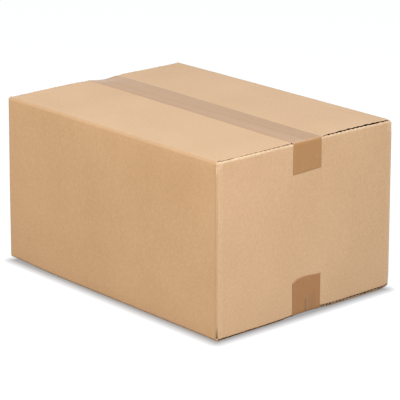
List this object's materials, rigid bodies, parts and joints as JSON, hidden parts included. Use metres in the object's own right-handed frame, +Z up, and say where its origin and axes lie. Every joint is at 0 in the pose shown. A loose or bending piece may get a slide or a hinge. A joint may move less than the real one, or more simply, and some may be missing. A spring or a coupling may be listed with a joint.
{
  "type": "closed cardboard box",
  "caption": "Plain closed shipping carton of brown corrugated board, folded from one sheet and sealed over both seams with tan film tape.",
  "frame": {"origin": "On the ground, under the middle of the base", "axes": "+X along the length, towards the end panel that the picture shows; +Y across the width, away from the long side panel that the picture shows; +Z up"},
  "size_m": [0.4302, 0.308, 0.2333],
  "materials": {
    "kraft_board": "matt brown kraft liner with fine fibres and faint flute lines",
    "packing_tape": "thin tan film tape, half glossy, lightly wrinkled"
  },
  "bodies": {
    "root": {"carton": "kraft_board", "top_tape": "packing_tape", "bottom_tape": "packing_tape"}
  },
  "joints": []
}
